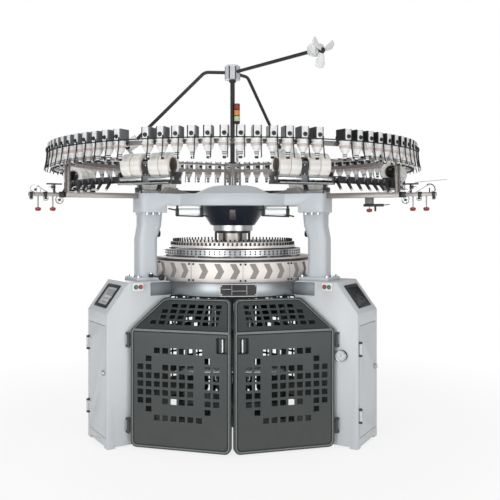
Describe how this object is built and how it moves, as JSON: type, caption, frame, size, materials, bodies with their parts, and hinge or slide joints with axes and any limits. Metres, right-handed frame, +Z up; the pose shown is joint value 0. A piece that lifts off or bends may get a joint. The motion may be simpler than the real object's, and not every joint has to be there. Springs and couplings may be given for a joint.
{
  "type": "circular knitting machine",
  "caption": "Large-diameter circular knitting machine with perforated safety doors, yarn feeders on a ring, elastane rolls and turning fans.",
  "frame": {"origin": "centre of the machine on the floor, on the axis of the needle cylinder", "axes": "+Z up along the cylinder axis, -Y towards the middle of the front safety doors, +X to the operator's right"},
  "size_m": [2.372, 2.501, 2.3309],
  "materials": {
    "casing_paint": "satin",
    "frame_paint": "satin",
    "door_paint": "satin",
    "dark_paint": "satin",
    "motor_paint": "satin",
    "casting": "rough",
    "bed_steel": "brushed",
    "bright_steel": "brushed",
    "cam_metal": "satin",
    "rail_alloy": "satin",
    "black_plastic": "matte",
    "white_plastic": "satin",
    "red_plastic": "gloss",
    "green_plastic": "gloss",
    "lamp_plastic": "gloss",
    "window_glass": "clear",
    "belt_rubber": "matte",
    "yarn": "matte"
  },
  "bodies": {
    "frame": {"arm_end_brackets": "cam_metal", "bar_lamps": "white_plastic", "base_frame": "casting", "bed_ring": "bed_steel", "cam_ring": "cam_metal", "carrier_ring": "bright_steel", "columns": "frame_paint", "crown": "frame_paint", "dial_adjusters": "black_plastic", "dial_cam_ring": "cam_metal", "dial_dome": "dark_paint", "dome_collar": "bright_steel", "door_hinges": "dark_paint", "drive_belt": "belt_rubber", "fan_post": "dark_paint", "feeder_housings": "white_plastic", "feeder_ring": "rail_alloy", "feeder_wheels": "white_plastic", "guide_ring": "dark_paint", "leg_cabinets": "casing_paint", "leg_castings": "casting", "machine_bolts": "bright_steel", "motor": "motor_paint", "operator_boxes": "white_plastic", "pressure_gauge": "dark_paint", "roller_feeders": "dark_paint", "signal_lamp": "lamp_plastic", "stop_levers": "black_plastic", "support_arms": "rail_alloy", "top_spider": "rail_alloy", "window_panes": "window_glass", "yarn_packages": "yarn"},
    "cylinder": {"needle_cylinder": "bright_steel", "ring_gear": "bright_steel", "takedown_frame": "casting"},
    "dial": {"needle_dial": "bright_steel"},
    "nip_front": {"nip_roller_front": "belt_rubber"},
    "nip_back": {"nip_roller_back": "belt_rubber"},
    "take_up": {"take_up_bar": "rail_alloy"},
    "shaft": {"drive_shaft": "bright_steel"},
    "motor_shaft": {"motor_pulley": "bright_steel"},
    "front_leaf_a": {"safety_door_front_a": "door_paint"},
    "front_leaf_b": {"safety_door_front_b": "door_paint"},
    "right_leaf_a": {"safety_door_right_a": "door_paint"},
    "right_leaf_b": {"safety_door_right_b": "door_paint"},
    "left_leaf_a": {"safety_door_left_a": "door_paint"},
    "left_leaf_b": {"safety_door_left_b": "door_paint"},
    "rear_panel": {"cabinet_door_rear": "casing_paint"},
    "left_panel": {"cabinet_door_left": "casing_paint"},
    "right_panel": {"cabinet_door_right": "casing_paint"},
    "left_stop": {"stop_button_left": "red_plastic"},
    "left_start": {"start_button_left": "green_plastic"},
    "right_stop": {"stop_button_right": "red_plastic"},
    "right_start": {"start_button_right": "green_plastic"},
    "pointer": {"gauge_pointer": "black_plastic"},
    "lever": {"hand_lever": "black_plastic"},
    "fan_carrier": {"fan_frame": "dark_paint"},
    "left_fan": {"fan_left": "white_plastic"},
    "rear_fan": {"fan_rear": "white_plastic"},
    "front_fan": {"fan_front": "white_plastic"}
  },
  "joints": [
    {"name": "cylinder_turn", "type": "hinge", "parent": "frame", "child": "cylinder", "pos_m": [0, 0, 0.889], "axis": [0, 0, 1], "continuous": true},
    {"name": "dial_turn", "type": "hinge", "parent": "frame", "child": "dial", "pos_m": [0, 0, 1.1], "axis": [0, 0, 1], "continuous": true},
    {"name": "nip_front_turn", "type": "hinge", "parent": "cylinder", "child": "nip_front", "pos_m": [0, -0.032, 0.56], "axis": [1, 0, 0], "continuous": true},
    {"name": "nip_back_turn", "type": "hinge", "parent": "cylinder", "child": "nip_back", "pos_m": [0, 0.032, 0.56], "axis": [1, 0, 0], "continuous": true},
    {"name": "take_up_turn", "type": "hinge", "parent": "cylinder", "child": "take_up", "pos_m": [0, 0, 0.33], "axis": [1, 0, 0], "continuous": true},
    {"name": "shaft_turn", "type": "hinge", "parent": "frame", "child": "shaft", "pos_m": [0.43648, -0.252, 0.64], "axis": [0, 0, 1], "continuous": true},
    {"name": "motor_turn", "type": "hinge", "parent": "frame", "child": "motor_shaft", "pos_m": [0.69628, -0.402, 0.437], "axis": [0, 0, 1], "continuous": true},
    {"name": "front_leaf_a_swing", "type": "hinge", "parent": "frame", "child": "front_leaf_a", "pos_m": [-0.59349, -0.56205, 0.385], "axis": [0, 0, -1], "range_deg": [0, 100]},
    {"name": "front_leaf_b_swing", "type": "hinge", "parent": "frame", "child": "front_leaf_b", "pos_m": [0.59349, -0.56205, 0.385], "axis": [0, 0, 1], "range_deg": [0, 100]},
    {"name": "right_leaf_a_swing", "type": "hinge", "parent": "frame", "child": "right_leaf_a", "pos_m": [0.78349, -0.23295, 0.385], "axis": [0, 0, -1], "range_deg": [0, 100]},
    {"name": "right_leaf_b_swing", "type": "hinge", "parent": "frame", "child": "right_leaf_b", "pos_m": [0.19, 0.795, 0.385], "axis": [0, 0, 1], "range_deg": [0, 100]},
    {"name": "left_leaf_a_swing", "type": "hinge", "parent": "frame", "child": "left_leaf_a", "pos_m": [-0.19, 0.795, 0.385], "axis": [0, 0, -1], "range_deg": [0, 100]},
    {"name": "left_leaf_b_swing", "type": "hinge", "parent": "frame", "child": "left_leaf_b", "pos_m": [-0.78349, -0.23295, 0.385], "axis": [0, 0, 1], "range_deg": [0, 100]},
    {"name": "rear_panel_swing", "type": "hinge", "parent": "frame", "child": "rear_panel", "pos_m": [0.141, 0.9243, 0.38], "axis": [0, 0, -1], "range_deg": [0, 110]},
    {"name": "left_panel_swing", "type": "hinge", "parent": "frame", "child": "left_panel", "pos_m": [-0.87097, -0.34004, 0.38], "axis": [0, 0, -1], "range_deg": [0, 110]},
    {"name": "right_panel_swing", "type": "hinge", "parent": "frame", "child": "right_panel", "pos_m": [0.72997, -0.58426, 0.38], "axis": [0, 0, -1], "range_deg": [0, 110]},
    {"name": "left_stop_press", "type": "slide", "parent": "frame", "child": "left_stop", "axis": [-0.5, 0.866, 0], "range_m": [0, 0.004], "stiffness_N_per_m": 300, "springref_m": -0.002},
    {"name": "left_start_press", "type": "slide", "parent": "frame", "child": "left_start", "axis": [-0.5, 0.866, 0], "range_m": [0, 0.004], "stiffness_N_per_m": 300, "springref_m": -0.002},
    {"name": "right_stop_press", "type": "slide", "parent": "frame", "child": "right_stop", "axis": [0.5, 0.866, 0], "range_m": [0, 0.004], "stiffness_N_per_m": 300, "springref_m": -0.002},
    {"name": "right_start_press", "type": "slide", "parent": "frame", "child": "right_start", "axis": [0.5, 0.866, 0], "range_m": [0, 0.004], "stiffness_N_per_m": 300, "springref_m": -0.002},
    {"name": "pointer_turn", "type": "hinge", "parent": "frame", "child": "pointer", "pos_m": [0.61851, -0.57071, 0.529], "axis": [0.5, 0.866, 0], "range_deg": [0, 270]},
    {"name": "lever_turn", "type": "hinge", "parent": "frame", "child": "lever", "pos_m": [-0.48668, -0.37105, 0.972], "axis": [0, 0, 1], "range_deg": [-20, 20]},
    {"name": "fan_carrier_turn", "type": "hinge", "parent": "frame", "child": "fan_carrier", "pos_m": [0, 0, 2.262], "axis": [0, 0, 1], "continuous": true},
    {"name": "left_fan_spin", "type": "hinge", "parent": "fan_carrier", "child": "left_fan", "pos_m": [-0.63757, -0.05578, 1.8], "axis": [-0.816, -0.0714, -0.5736], "continuous": true},
    {"name": "rear_fan_spin", "type": "hinge", "parent": "fan_carrier", "child": "rear_fan", "pos_m": [0.35788, 0.53058, 1.8], "axis": [0.4581, 0.6791, -0.5736], "continuous": true},
    {"name": "front_fan_spin", "type": "hinge", "parent": "fan_carrier", "child": "front_fan", "pos_m": [0.47566, -0.56687, 2.275], "axis": [0.6295, -0.7502, -0.2022], "continuous": true}
  ],
  "couplings": [
    {"joint": "dial_turn", "follows": "cylinder_turn", "ratio": 1},
    {"joint": "nip_front_turn", "follows": "cylinder_turn", "ratio": -2},
    {"joint": "nip_back_turn", "follows": "cylinder_turn", "ratio": 2},
    {"joint": "take_up_turn", "follows": "cylinder_turn", "ratio": 1.875},
    {"joint": "shaft_turn", "follows": "cylinder_turn", "ratio": -8.3333},
    {"joint": "motor_turn", "follows": "cylinder_turn", "ratio": -15.625}
  ]
}
